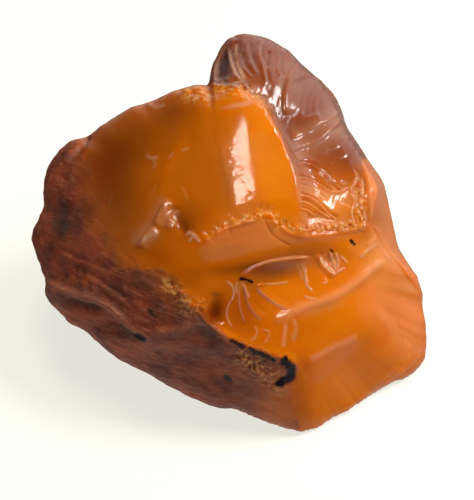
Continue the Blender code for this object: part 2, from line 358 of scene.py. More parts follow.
ORANGE_MARKS = [
    # The soft edge between the highlit facet and the brightest face
    ("tent", 34.0, 0.95, 0.0, [(262, 214), (259, 192), (255, 166), (249, 140), (244, 118), (240, 100)]),
    # Small nicks and waves in the left faces
    ("wave", 8.0, 0.10, 0.0, [(190, 130), (176, 160), (162, 190)]),
    ("crest", 1.6, 0.10, 0.4, [(147, 103), (154, 107), (166, 105)]),
    ("crest", 1.4, 0.10, 0.4, [(146, 154), (150, 158), (158, 157)]),
    ("crest", 1.2, 0.08, 0.3, [(152, 158), (155, 164), (153, 169)]),
    ("crest", 1.0, 0.08, 0.3, [(168, 159), (171, 156), (173, 152)]),
    ("crest", 1.0, 0.08, 0.3, [(181, 151), (185, 149), (190, 148)]),
    ("wave", 1.2, 0.08, 0.1, [(157, 184), (152, 192), (147, 196)]),
    ("wave", 1.2, 0.07, 0.1, [(112, 194), (111, 200), (108, 206)]),
    ("wave", 1.2, 0.06, 0.1, [(180, 186), (186, 194), (188, 202)]),
    # Small chips above the band
    ("ledge", 8.0, 0.45, 0.2, [(154, 226), (160, 210), (168, 198)]),
    ("ledge", 6.0, 0.35, 0.3, [(166, 228), (170, 218), (176, 208)]),
    ("crest", 5.0, -0.35, 0.0, [(172, 206), (178, 222), (186, 234)]),
    ("crest", 1.2, 0.16, 0.7, [(163, 203), (166, 208), (165, 213)]),
    ("crest", 1.2, 0.16, 0.5, [(169, 219), (174, 222), (178, 226)]),
    ("ledge", 9.0, 0.50, 0.3, [(139, 248), (143, 236), (156, 226)]),
    ("crest", 1.6, 0.20, 0.9, [(142, 242), (147, 237), (154, 234), (158, 237)]),
    ("crest", 1.4, 0.20, 0.8, [(186, 236), (190, 233), (196, 238), (200, 243)]),
    ("crest", 1.2, 0.20, 0.7, [(188, 242), (192, 238), (194, 233)]),
    ("crest", 6.0, -0.35, 0.0, [(206, 238), (216, 230), (232, 227)]),
]
BAND_MARKS = [
    # The step under the orange faces
    ("crest", 2.2, 0.25, 0.0, [(202, 246), (213, 235), (226, 229), (244, 223), (262, 217)]),
    ("crest", 1.3, -0.18, 0.0, [(264, 219), (269, 230), (277, 239), (291, 246)]),
    ("crest", 2.2, 0.20, 0.0, [(276, 224), (290, 233), (302, 236), (324, 235), (345, 232), (364, 228)]),
    ("tent", 16.0, 0.40, 0.0, [(196, 262), (225, 259), (250, 251), (290, 245), (340, 237)]),
]
VALLEY_MARKS = [
    # First shell: pale upper edge, hackles at its right end
    ("ledge", 22.0, 0.55, 0.0,
     [(236, 279), (250, 268), (264, 262), (282, 258), (298, 256), (312, 257)]),
    ("crest", 1.1, 0.10, 0.5, [(256, 266), (268, 261), (284, 258), (298, 257), (310, 257)]),
    ("crest", 1.0, 0.20, 0.8, [(301, 262), (304, 270), (306, 278), (308, 284)]),
    ("crest", 1.0, 0.18, 0.8, [(306, 268), (305, 278), (307, 286), (313, 292)]),
    ("crest", 0.9, 0.14, 0.5, [(296, 264), (300, 272), (302, 280)]),
    ("crest", 1.0, 0.14, 0.6, [(304, 296), (309, 298), (316, 299)]),
    # Pale ribbon under it
    ("ledge", 8.0, 0.30, 0.0, [(290, 311), (279, 306), (268, 299), (259, 291), (258, 285), (266, 282)]),
    ("crest", 1.2, 0.12, 0.8, [(289, 310), (279, 306), (268, 299), (259, 291), (258, 286)]),
    ("crest", 0.9, 0.10, 0.4, [(264, 284), (276, 284), (289, 282)]),
    # Curved lines to the left of it
    ("ledge", 7.0, 0.30, 0.0, [(263, 321), (252, 311), (246, 298), (243, 284)]),
    ("crest", 0.9, 0.10, 0.7, [(262, 321), (252, 311), (246, 298), (244, 286), (240, 281)]),
    ("ledge", 6.0, 0.22, 0.0, [(246, 326), (240, 308), (239, 292), (240, 281)]),
    ("crest", 0.8, 0.08, 0.5, [(245, 323), (240, 308), (239, 292), (240, 283)]),
    ("crest", 0.9, 0.12, 0.7, [(226, 281), (232, 286), (234, 294), (231, 302)]),
    ("crest", 0.9, 0.12, 0.6, [(238, 281), (236, 288), (238, 295)]),
    ("crest", 0.9, 0.12, 0.6, [(243, 286), (246, 291), (249, 298)]),
    ("crest", 0.8, 0.08, 0.5, [(231, 300), (227, 310), (228, 320), (233, 328)]),
    ("crest", 5.0, -0.35, 0.0, [(216, 292), (214, 308), (220, 326)]),
    ("crest", 0.9, 0.10, 0.4, [(250, 342), (256, 336), (257, 330), (254, 326)]),
    ("crest", 0.9, 0.10, 0.4, [(264, 344), (269, 337), (268, 331), (262, 330)]),
    ("wave", 2.2, 0.10, 0.3, [(286, 322), (285, 334), (283, 348)]),
    ("wave", 2.6, 0.08, 0.2, [(294, 318), (296, 330), (292, 342)]),
    # Bright shards
    ("ledge", 5.0, 0.50, 0.0, [(318, 254), (322, 264), (330, 272), (336, 275)]),
    ("crest", 1.3, 0.30, 1.0, [(336, 276), (331, 270), (324, 264), (320, 256)]),
    ("crest", 1.1, 0.30, 0.9, [(336, 272), (333, 262), (330, 252)]),
    ("crest", 1.0, 0.24, 0.7, [(337, 270), (338, 262), (335, 252)]),
    ("crest", 1.0, 0.24, 0.8, [(336, 273), (341, 270), (345, 268)]),
    ("crest", 1.0, 0.16, 0.5, [(340, 256), (344, 260), (347, 263)]),
    ("crest", 5.0, -0.35, 0.0, [(325, 257), (332, 263)]),
    ("crest", 1.0, 0.14, 0.5, [(322, 284), (326, 282), (324, 278)]),
    # Ribs towards the right
    ("crest", 1.6, 0.16, 0.4, [(359, 258), (368, 250), (378, 243)]),
    ("crest", 1.4, 0.14, 0.3, [(366, 246), (374, 240), (377, 237)]),
    ("crest", 1.0, 0.10, 0.5, [(361, 273), (366, 270), (370, 269)]),
    ("crest", 1.0, 0.12, 0.5, [(384, 252), (388, 256), (391, 260)]),
]
LOWER_MARKS = [
    # Rounded edge over the large face
    ("crest", 5.0, 0.35, 0.30,
     [(272, 324), (300, 309), (330, 299), (350, 287), (370, 271), (390, 256)]),
    ("crest", 7.0, 0.0, 0.20, [(292, 310), (320, 305), (346, 292)]),
    # Soft edge across it
    ("crest", 3.0, 0.14, 0.35, [(308, 361), (320, 355), (336, 346), (350, 340), (358, 334)]),
    ("tent", 24.0, 0.30, 0.0, [(300, 366), (320, 357), (344, 344), (366, 332), (390, 314)]),
    ("wave", 9.0, 0.08, 0.0, [(322, 394), (336, 376), (352, 362), (376, 344)]),
    # Striped rim at the lower right
    ("wave", 1.8, 0.06, 0.2, [(425, 346), (416, 360), (404, 371), (390, 380)]),
    ("wave", 1.6, 0.05, 0.1, [(421, 342), (411, 358), (398, 369), (384, 377)]),
    ("wave", 1.6, 0.04, 0.1, [(416, 342), (405, 356), (392, 366)]),
    # Long edges of the right side
    ("ledge", 10.0, 0.28, 0.1, [(421, 294), (404, 272), (390, 254), (380, 240), (372, 224)]),
    ("crest", 2.0, 0.20, 0.2, [(372, 222), (370, 200), (368, 180), (362, 160)]),
]
CRUST_MARKS = [
    # Rim of the crust and the groove under it
    ("crest", 3.0, 0.55, 0.7,
     [(43, 278), (60, 289), (84, 297), (104, 305), (117, 314), (130, 328), (150, 334)]),
    ("crest", 4.0, 0.20, 0.4, [(150, 334), (176, 330), (200, 326), (222, 334), (242, 346)]),
    ("crest", 5.0, -1.00, 0.0, [(60, 298), (84, 305), (104, 314), (122, 329), (147, 342)]),
    ("crest", 8.0, 0.40, 0.0, [(62, 316), (96, 332), (128, 350)]),
    ("crest", 9.0, -0.35, 0.0, [(150, 352), (184, 358), (220, 366)]),
    ("crest", 8.0, 0.35, 0.0, [(130, 360), (170, 376), (210, 392), (250, 404)]),
    ("wave", 3.0, 0.14, 0.0, [(60, 262), (84, 274), (112, 290), (136, 310)]),
    ("wave", 3.0, 0.14, 0.0, [(52, 248), (80, 260), (112, 274)]),
    # Second lobe at the upper left
    ("crest", 3.0, -0.50, 0.0, [(90, 134), (83, 144), (76, 154), (68, 162)]),
    ("crest", 4.0, 0.25, 0.0, [(84, 140), (72, 150), (60, 156)]),
    ("crest", 5.0, -0.35, 0.0, [(42, 208), (56, 212), (72, 208)]),
    # Where the crust meets the orange
    ("ledge", 8.0, 0.30, 0.0, [(297, 376), (290, 362), (268, 355), (242, 346), (220, 335), (196, 314)]),
]
ALL_MARKS = FIN_MARKS + ORANGE_MARKS + BAND_MARKS + VALLEY_MARKS + LOWER_MARKS + CRUST_MARKS

# How marks are drawn: points per stretch of line, the share of each end that fades out, how many
# widths a mark reaches, and the shapes of a ledge, a tent and a wave
LINE_STEPS = 4
TAPER = 0.12
REACH = 3.0
LIP = 0.8
TENT_ROUNDING = 4.0
WAVE_PEAK = 2.33

# Relief of the surface: heights in millimetres, and sizes of the noise in metres
LUMP_HEIGHT = 0.55
LUMP_LOST_IN_FRONT = 0.30
LUMP_SIZE = 0.009
GRAIN_HEIGHT = 0.16
GRAIN_SIZE = 0.0028
FRESH_HEIGHT = 0.06
FRESH_SIZE = 0.006
PIT_HEIGHT = 0.08
PIT_SIZE = 0.0008
CRUMB_HEIGHT = 0.55
LARGE_CRUMB_SIZE = 0.0020
SMALL_CRUMB_SIZE = 0.0009

# Half width of the pitted highlight in pixels, the share of large crumbs, and the least crumble
PIT_REACH = 9.0
LARGE_CRUMBS = 0.6
SMALL_CRUMBS = 0.4
LEAST_CRUMB = 0.02

# Streaks: the turn in degrees from the right, downwards, the length and the width in millimetres
CRUST_STREAKS = (38.0, 4.0, 0.5)
CRUST_STREAK_HEIGHT = 0.05
FIN_STREAKS = (112.0, 5.0, 0.6)
FIN_STREAK_HEIGHT = 0.035

# Noise: how much weaker and finer each octave is, the seeds' steps, and the shards' seed and tilt
OCTAVE_FALL = 1.0
OCTAVE_STEP = 2.0
SEED_STEPS = (7.3, 3.1, 5.7)
SHARD_SEED = 1
SHARD_TILT = 3.0
SHARD_TILT_SEED = 5.3
SHARD_LEVEL_SEED = 3.7

# Soft borders of the zones in pixels, and how far the crust's border wanders
LEFT_SKIN_SOFT = 20.0
LOWER_SKIN_SOFT = 5.0
FIN_SOFT = 3.0
BAND_SOFT = 4.0
WANDER = 5.0
WANDER_SIZE = 0.003

# The fin's colour fades by this share between two rows of pixels. The hidden sides are this deep.
FIN_FADE = 0.7
FIN_FADE_ROWS = (140.0, 205.0)
HIDDEN_DEPTH = 0.5

# How frayed the black specks are, and where they end
FRAY = 0.3
FRAY_SIZE = 0.0012
SOOT_EDGE = (0.45, 0.6)


def camera():
    """Looks at the piece as the photograph does."""
    frame_width = PHOTO_WIDTH / PIXELS_PER_MM * MM
    data = bpy.data.cameras.new("camera")
    data.sensor_fit = "HORIZONTAL"
    data.sensor_width = SENSOR_WIDTH
    data.lens = SENSOR_WIDTH * CAMERA_DISTANCE / frame_width
    made = bpy.data.objects.new("camera", data)
    bpy.context.scene.collection.objects.link(made)
    right = (0.5 * PHOTO_WIDTH - MIDDLE_PIXEL[0]) / PIXELS_PER_MM * MM
    down = (0.5 * PHOTO_HEIGHT - MIDDLE_PIXEL[1]) / PIXELS_PER_MM * MM
    made.location = MIDDLE + OUT * CAMERA_DISTANCE + ACROSS * right - UP * down
    made.rotation_euler = Vector(OUT).to_track_quat("Z", "Y").to_euler()
    bpy.context.scene.camera = made
    return made


def seen_at(points):
    """The photograph's pixels at which these points are seen."""
    away = points - MIDDLE
    scale = PIXELS_PER_MM / MM * CAMERA_DISTANCE / (CAMERA_DISTANCE - away @ OUT)
    across = MIDDLE_PIXEL[0] + (away @ ACROSS) * scale
    down = MIDDLE_PIXEL[1] - (away @ UP) * scale
    return np.stack((across, down), axis=1)


def smooth_step(low, high, value):
    t = np.clip((value - low) / (high - low), 0.0, 1.0)
    return t * t * (3.0 - 2.0 * t)


def coordinates(mesh):
    values = np.empty(len(mesh.vertices) * 3)
    mesh.vertices.foreach_get("co", values)
    return values.reshape(-1, 3)


def normals(mesh):
    values = np.empty(len(mesh.vertices) * 3)
    mesh.vertex_normals.foreach_get("vector", values)
    return values.reshape(-1, 3)


def set_coordinates(mesh, points):
    mesh.vertices.foreach_set("co", points.ravel())
    mesh.update()


def edge_ends(mesh):
    values = np.empty(len(mesh.edges) * 2, dtype=np.int64)
    mesh.edges.foreach_get("vertices", values)
    return values.reshape(-1, 2)


def relax(mesh, amount, rounds):
    """Moves each point towards the middle of its neighbours, by its own amount."""
    points = coordinates(mesh)
    ends = edge_ends(mesh)
    size = len(points)
    count = np.bincount(ends.ravel(), minlength=size)
    starts = np.concatenate((ends[:, 0], ends[:, 1]))
    stops = np.concatenate((ends[:, 1], ends[:, 0]))
    for _ in range(rounds):
        sums = [np.bincount(starts, weights=points[stops, axis], minlength=size) for axis in range(3)]
        middles = np.stack([total / count for total in sums], axis=1)
        points = points + (middles - points) * amount[:, None]
    set_coordinates(mesh, points)


def refine(mesh, chosen):
    """Halves the size of the faces for which chosen(pixels, facing) holds."""
    bm = bmesh.new()
    bm.from_mesh(mesh)
    middles = np.array([face.calc_center_median() for face in bm.faces])
    facing = np.array([face.normal for face in bm.faces]) @ OUT
    picked = chosen(seen_at(middles), facing)
    taken = [face for face, take in zip(bm.faces, picked) if take]
    # A dictionary keeps the edges in the same order at each run, which a set would not
    edges = dict.fromkeys(edge for face in taken for edge in face.edges)
    bmesh.ops.subdivide_edges(bm, edges=list(edges), cuts=1, use_grid_fill=True)
    bmesh.ops.triangulate(bm, faces=[face for face in bm.faces if len(face.verts) > 4])
    bm.to_mesh(mesh)
    bm.free()


def in_rich_zone(pixels):
    """Whether each pixel lies where the photograph shows the smallest marks."""
    x, y = pixels[:, 0], pixels[:, 1]
    inside = np.zeros(len(pixels), dtype=bool)
    for left, right, top, bottom in RICH_BOXES:
        inside |= (x > left) & (x < right) & (y > top) & (y < bottom)
    return inside


def line_through(points):
    """A smooth line through the given photograph points, as many more points."""
    knots = np.array([points[0], *points, points[-1]], dtype=float)
    made = []
    for number in range(1, len(knots) - 2):
        before, start, stop, after = knots[number - 1 : number + 3]
        for t in np.linspace(0.0, 1.0, LINE_STEPS, endpoint=False):
            slope = (stop - before) * t
            bend = (2.0 * before - 5.0 * start + 4.0 * stop - after) * t**2
            turn = (3.0 * start - before - 3.0 * stop + after) * t**3
            made.append(0.5 * (2.0 * start + slope + bend + turn))
    made.append(knots[-1])
    return np.array(made)


def beside(pixels, line):
    """For each pixel: its distance to the line, positive on the line's right, and how far along.

    The right is as seen by someone who walks along the line in the photograph.
    """
    nearest = np.full(len(pixels), np.inf)
    signed = np.zeros(len(pixels))
    along = np.zeros(len(pixels))
    lengths = np.linalg.norm(np.diff(line, axis=0), axis=1)
    total = lengths.sum()
    walked = 0.0
    for start, stop, length in zip(line[:-1], line[1:], lengths):
        step = stop - start
        away = pixels - start
        t = np.clip((away @ step) / (length * length), 0.0, 1.0)
        gap = away - t[:, None] * step
        distance = np.hypot(gap[:, 0], gap[:, 1])
        closer = distance < nearest
        side = np.sign(step[0] * away[:, 1] - step[1] * away[:, 0])
        nearest = np.where(closer, distance, nearest)
        signed = np.where(closer, distance * side, signed)
        along = np.where(closer, (walked + t * length) / total, along)
        walked += length
    return signed, along


def stroke(pixels, points, shape, reach, taper=TAPER):
    """The height of one drawn mark at each pixel, from shape(signed distance), in its own unit."""
    line = line_through(points)
    low = line.min(axis=0) - reach
    high = line.max(axis=0) + reach
    height = np.zeros(len(pixels))
    near = ((pixels > low) & (pixels < high)).all(axis=1)
    if not near.any():
        return height
    signed, along = beside(pixels[near], line)
    ends = 1.0
    if taper > 0.0:
        ends = smooth_step(0.0, taper, along) * smooth_step(0.0, taper, 1.0 - along)
    height[near] = shape(signed) * ends
    return height


def zone(pixels, outline, soft):
    """1 inside this outline and 0 outside it, with a soft border, in pixels."""
    corners = np.array(outline, dtype=float)
    inside = np.zeros(len(pixels), dtype=bool)
    gap = np.full(len(pixels), np.inf)
    for start, stop in zip(corners, np.roll(corners, -1, axis=0)):
        step = stop - start
        away = pixels - start
        t = np.clip((away @ step) / (step @ step), 0.0, 1.0)
        rest = away - t[:, None] * step
        gap = np.minimum(gap, np.hypot(rest[:, 0], rest[:, 1]))
        spans = (start[1] > pixels[:, 1]) != (stop[1] > pixels[:, 1])
        rise = step[1] if step[1] else TINY
        crosses = pixels[:, 0] < start[0] + step[0] * (pixels[:, 1] - start[1]) / rise
        inside ^= spans & crosses
    signed = np.where(inside, gap, -gap)
    return smooth_step(-soft, soft, signed)


def fractal(points, size, octaves, seed):
    """Smooth noise of about -1 to 1, with features of this size in the points' unit."""
    shift = Vector([seed * step for step in SEED_STEPS])
    places = [Vector(point) / size + shift for point in points]
    return np.array([noise.fractal(place, OCTAVE_FALL, OCTAVE_STEP, octaves) for place in places])


def fit_outline(mesh):
    """Shifts points within the photograph's plane until the lump's outline is the photograph's."""
    points = coordinates(mesh)
    pixels = seen_at(points)
    away = pixels - MIDDLE_PIXEL
    angles = np.arctan2(away[:, 1], away[:, 0])
    radii = np.hypot(away[:, 0], away[:, 1])
    bins = ((angles + math.pi) / (2.0 * math.pi) * OUTLINE_BINS).astype(int) % OUTLINE_BINS
    has = np.zeros(OUTLINE_BINS)
    np.maximum.at(has, bins, radii)
    wants = np.zeros(OUTLINE_BINS)
    corners = np.array(OUTLINE, dtype=float) - MIDDLE_PIXEL
    middles = (np.arange(OUTLINE_BINS) + 0.5) / OUTLINE_BINS * 2.0 * math.pi - math.pi
    for start, stop in zip(corners, np.roll(corners, -1, axis=0)):
        step = stop - start
        for number, angle in enumerate(middles):
            ray = np.array((math.cos(angle), math.sin(angle)))
            cross = ray[0] * step[1] - ray[1] * step[0]
            if abs(cross) < TINY:
                continue
            reach = (start[0] * step[1] - start[1] * step[0]) / cross
            share = (start[0] * ray[1] - start[1] * ray[0]) / cross
            if reach > 0.0 and 0.0 <= share <= 1.0:
                wants[number] = max(wants[number], reach)
    ratio = wants / has
    share = smooth_step(OUTLINE_FROM, 1.0, radii / has[bins])
    place = (angles + math.pi) / (2.0 * math.pi) * OUTLINE_BINS - 0.5
    lower = np.floor(place).astype(int)
    blend = place - lower
    wanted = ratio[lower % OUTLINE_BINS] * (1.0 - blend) + ratio[(lower + 1) % OUTLINE_BINS] * blend
    shift = away * ((wanted - 1.0) * share)[:, None] / PIXELS_PER_MM * MM
    lifted = smooth_step(0.0, FLOOR_GUARD, points[:, 2])[:, None]
    moved = points + (shift[:, :1] * ACROSS - shift[:, 1:] * UP) * lifted
    moved[:, 2] = np.maximum(moved[:, 2], 0.0)
    set_coordinates(mesh, moved)


def shape_of(kind, width):
    """The cross-section of one kind of mark, as a function of the signed distance in pixels."""
    if kind == "crest":
        return lambda signed: np.exp(-((signed / width) ** 2))
    if kind == "tent":
        return lambda signed: np.clip(1.0 - np.hypot(signed, TENT_ROUNDING) / width, 0.0, 1.0)
    if kind == "wave":
        return lambda signed: WAVE_PEAK * signed / width * np.exp(-((signed / width) ** 2))
    return lambda signed: smooth_step(-LIP, LIP, signed) * np.clip(1.0 - signed / width, 0.0, 1.0)


def marked(pixels, rows):
    """The height of all these marks at each pixel, in millimetres."""
    height = np.zeros(len(pixels))
    for kind, width, amount, _, points in rows:
        height += amount * stroke(pixels, points, shape_of(kind, width), REACH * width)
    return height


def paled(pixels, rows):
    """How pale the edges of all these marks are at each pixel; on fresh faces this is a painted
    highlight.
    """
    value = np.zeros(len(pixels))
    for _, width, _, pale, points in rows:
        if pale:
            edge = stroke(pixels, points, shape_of("crest", width), REACH * width)
            value = np.maximum(value, pale * edge)
    return value


def streaks(points, turn, length, width, seed):
    """Noise drawn out along one direction of the photograph, of about -1 to 1.

    The turn is in degrees from the right, downwards; length and width are in millimetres.
    """
    away = (points - MIDDLE) / MM
    across, down, out = away @ ACROSS, -(away @ UP), away @ OUT
    angle = math.radians(turn)
    along = across * math.cos(angle) + down * math.sin(angle)
    beyond = down * math.cos(angle) - across * math.sin(angle)
    stretched = np.stack((along / length, beyond / width, out / length), axis=1)
    return fractal(stretched, size=1.0, octaves=2, seed=seed)


def near_lines(pixels, lines, width):
    """1 on any of these lines, fading to 0 a few widths away."""
    value = np.zeros(len(pixels))
    for points in lines:
        near = stroke(pixels, points, shape_of("crest", width), REACH * width, taper=0.0)
        value = np.maximum(value, near)
    return value


def rough_lump(node):
    """A closed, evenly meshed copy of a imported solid."""
    bm = bmesh.new()
    bm.from_mesh(frame["nodes"][node].data)
    bmesh.ops.remove_doubles(bm, verts=bm.verts, dist=WELD)
    tree = BVHTree.FromBMesh(bm)
    rough = bpy.data.meshes.new("rough")
    bm.to_mesh(rough)
    bm.free()
    made = bpy.data.objects.new("amber_lump", rough)
    bpy.context.scene.collection.objects.link(made)
    remesh = made.modifiers.new("remesh", "REMESH")
    remesh.mode = "VOXEL"
    remesh.voxel_size = VOXEL
    graph = bpy.context.evaluated_depsgraph_get()
    mesh = bpy.data.meshes.new_from_object(made.evaluated_get(graph))
    made.modifiers.clear()
    made.data = mesh
    bpy.data.meshes.remove(rough)
    points = coordinates(mesh)
    for index, point in enumerate(points):
        points[index] = tree.find_nearest(Vector(point))[0]
    set_coordinates(mesh, points)
    return made


def soften(mesh):
    """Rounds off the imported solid's small facets, but not the edges that the photograph shows."""
    points = coordinates(mesh)
    pixels = seen_at(points)
    faces_camera = smooth_step(*KEPT_FACING, normals(mesh) @ OUT)
    kept = near_lines(pixels, KEPT_EDGES, KEPT_WIDTH) * faces_camera
    grounded = points[:, 2] < GROUND
    relax(mesh, RELAX_STEP * (1.0 - KEPT_FIRMNESS * kept), SOFTENING)
    settle(mesh, grounded)


def settle(mesh, grounded):
    """Puts the points of the foot back on the floor, and keeps all others from sinking into it."""
    points = coordinates(mesh)
    points[grounded, 2] = 0.0
    points[:, 2] = np.maximum(points[:, 2], 0.0)
    set_coordinates(mesh, points)


def sculpt(mesh):
    """Presses the photograph's marks, and the grain of the crust, into the surface."""
    # The vector noise of the shards starts from the clock unless it is seeded
    noise.seed_set(SHARD_SEED)
    points = coordinates(mesh)
    outward = normals(mesh)
    pixels = seen_at(points)
    facing = outward @ OUT
    front = smooth_step(*MARKED_FACING, facing)
    height = marked(pixels, ALL_MARKS) * front
    crust = crust_mask(pixels, facing)
    lumps = (LUMP_HEIGHT - LUMP_LOST_IN_FRONT * front) * fractal(points, LUMP_SIZE, octaves=2, seed=1)
    grains = GRAIN_HEIGHT * fractal(points, GRAIN_SIZE, octaves=3, seed=2)
    height += crust * (lumps + grains)
    height += crust * CRUST_STREAK_HEIGHT * streaks(points, *CRUST_STREAKS, seed=4)
    height += (1.0 - crust) * FRESH_HEIGHT * fractal(points, FRESH_SIZE, octaves=2, seed=3)
    fin = zone(pixels, FIN_ZONE, FIN_SOFT) * front
    height += fin * FIN_STREAK_HEIGHT * streaks(points, *FIN_STREAKS, seed=8)
    height += near_lines(pixels, [HIGHLIT], PIT_REACH) * front * PIT_HEIGHT * shards(points, PIT_SIZE)
    height += crumb_relief(points, crumb_mask(pixels) * front)
    lifted = smooth_step(0.0, FLOOR_GUARD, points[:, 2])
    grounded = points[:, 2] < GROUND
    points = points + outward * (height * lifted)[:, None] * MM
    set_coordinates(mesh, points)
    settle(mesh, grounded)


def crumb_relief(points, crumb):
    """Large and small crumbs where the surface is crumbled."""
    picked = crumb > LEAST_CRUMB
    broken = np.zeros(len(points))
    large = LARGE_CRUMBS * shards(points[picked], LARGE_CRUMB_SIZE)
    small = SMALL_CRUMBS * shards(points[picked], SMALL_CRUMB_SIZE)
    broken[picked] = large + small
    return crumb * CRUMB_HEIGHT * broken


def shards(points, size):
    """Small flat facets, each tilted its own way, of about -1 to 1."""
    values = np.empty(len(points))
    for index, point in enumerate(points):
        place = Vector(point) / size
        middle = noise.voronoi(place)[1][0]
        tilt = noise.noise_vector(middle * SHARD_TILT_SEED) * SHARD_TILT
        values[index] = (place - middle).dot(tilt) + noise.noise(middle * SHARD_LEVEL_SEED)
    return np.clip(values, -1.0, 1.0)


def crust_mask(pixels, facing):
    """1 on the weathered skin, as in the photograph and on all hidden sides, and 0 on fresh fracture."""
    hidden = 1.0 - smooth_step(*CRUST_FACING, facing)
    left = zone(pixels, LEFT_SKIN, LEFT_SKIN_SOFT)
    lower = zone(pixels, LOWER_SKIN, LOWER_SKIN_SOFT)
    skin = np.maximum(left, lower) * (1.0 - np.clip(spots(pixels, THIN_SKIN), 0.0, 1.0))
    return np.maximum(skin, hidden)


def crumb_mask(pixels):
    """1 where the photograph shows the surface crumbled."""
    value = np.zeros(len(pixels))
    for width, points in CRUMBLED:
        value = np.maximum(value, near_lines(pixels, [points], width))
    return value


def add_attribute(mesh, name, values):
    attribute = mesh.attributes.new(name, "FLOAT", "POINT")
    attribute.data.foreach_set("value", np.clip(values, 0.0, 1.0).astype(np.float32))


def spots(pixels, rows):
    """The sum of these soft spots at each pixel: value, middle across and down, radii, tilt."""
    value = np.zeros(len(pixels))
    for amount, across, down, wide, high, tilt in rows:
        turn = math.radians(tilt)
        away = pixels - (across, down)
        along = (away[:, 0] * math.cos(turn) + away[:, 1] * math.sin(turn)) / wide
        beyond = (away[:, 1] * math.cos(turn) - away[:, 0] * math.sin(turn)) / high
        value += amount * np.exp(-(along**2) - beyond**2)
    return value


def paint(mesh):
    """Stores on each point how much crust, soot, painted sheen and frost, painted shade, painted glow,
    deeper resin and so on the material shows there.
    """
    points = coordinates(mesh)
    pixels = seen_at(points)
    facing = normals(mesh) @ OUT
    front = smooth_step(*PAINTED_FACING, facing)
    fray = fractal(points, FRAY_SIZE, octaves=3, seed=5)
    sideways = fractal(points, WANDER_SIZE, octaves=3, seed=6)
    downwards = fractal(points, WANDER_SIZE, octaves=3, seed=7)
    wander = WANDER * np.stack((sideways, downwards), axis=1)
    add_attribute(mesh, "crust", crust_mask(pixels + wander, facing))
    add_attribute(mesh, "crumb", crumb_mask(pixels) * front)
    fin = zone(pixels, FIN_ZONE, FIN_SOFT) * (1.0 - FIN_FADE * smooth_step(*FIN_FADE_ROWS, pixels[:, 1]))
    add_attribute(mesh, "fin", fin * front)
    # Painted shade: near black on the fin's dark facets
    add_attribute(mesh, "painted_shade", spots(pixels, PAINTED_SHADE_SPOTS) * front)
    # Painted shade and thicker resin, with the hidden sides deep throughout
    add_attribute(mesh, "depth_and_shade", spots(pixels, DEPTH_AND_SHADE_SPOTS) * front + HIDDEN_DEPTH * (1.0 - front))
    # Painted light: yellower glow where light shines through
    add_attribute(mesh, "painted_glow", spots(pixels, PAINTED_GLOW_SPOTS) * front)
    # Painted sheen, highlights and reflections, with the pale frosted edges
    painted_sheen_veil = BAND_SHEEN * zone(pixels, BAND_ZONE, BAND_SOFT) + spots(pixels, SHEEN_AND_FROST_SPOTS)
    edges = paled(pixels, FIN_MARKS + ORANGE_MARKS + VALLEY_MARKS + LOWER_MARKS)
    add_attribute(mesh, "sheen_and_frost", np.maximum(painted_sheen_veil, edges) * front)
    soot = np.zeros(len(points))
    for width, line in SOOT_LINES:
        soot = np.maximum(soot, near_lines(pixels, [line], width))
    add_attribute(mesh, "soot", smooth_step(*SOOT_EDGE, soot + FRAY * fray) * front)
    add_attribute(mesh, "stain", spots(pixels, STAINS) * front)
    add_attribute(mesh, "rim", paled(pixels, CRUST_MARKS) * front)


def mixed(tree, factor, first, second):
    """A colour between two, each a colour or the output of another node."""
    mix = tree.nodes.new("ShaderNodeMix")
    mix.data_type = "RGBA"
    for name, value in (("Factor", factor), ("A", first), ("B", second)):
        target = [item for item in mix.inputs if item.name == name and item.enabled][0]
        if isinstance(value, bpy.types.NodeSocket):
            tree.links.new(value, target)
        else:
            target.default_value = value
    return [item for item in mix.outputs if item.enabled][0]


def calculated(tree, operation, first, second, third=None, clamp=False):
    """One step of arithmetic on numbers or on the outputs of other nodes."""
    node = tree.nodes.new("ShaderNodeMath")
    node.operation = operation
    node.use_clamp = clamp
    for target, value in zip(node.inputs, (first, second, third)):
        if isinstance(value, bpy.types.NodeSocket):
            tree.links.new(value, target)
        elif value is not None:
            target.default_value = value
    return node.outputs["Value"]


def painted(tree, name):
    """A value that paint() stored on the points."""
    node = tree.nodes.new("ShaderNodeAttribute")
    node.attribute_name = name
    return node.outputs["Fac"]


def grain(tree, place, scale, detail, low, high, length=1.0, turn=(0.0, 0.0, 0.0)):
    """Noise in the object's own space, spread from low to high and drawn out along one direction."""
    mapping = tree.nodes.new("ShaderNodeMapping")
    mapping.vector_type = "TEXTURE"
    mapping.inputs["Scale"].default_value = (length, 1.0, 1.0)
    mapping.inputs["Rotation"].default_value = [math.radians(angle) for angle in turn]
    tree.links.new(place, mapping.inputs["Vector"])
    node = tree.nodes.new("ShaderNodeTexNoise")
    node.inputs["Scale"].default_value = scale
    node.inputs["Detail"].default_value = detail
    node.inputs["Roughness"].default_value = NOISE_ROUGHNESS
    tree.links.new(mapping.outputs["Vector"], node.inputs["Vector"])
    spread = tree.nodes.new("ShaderNodeMapRange")
    spread.inputs["From Min"].default_value = low
    spread.inputs["From Max"].default_value = high
    tree.links.new(node.outputs["Fac"], spread.inputs["Value"])
    return spread.outputs["Result"]


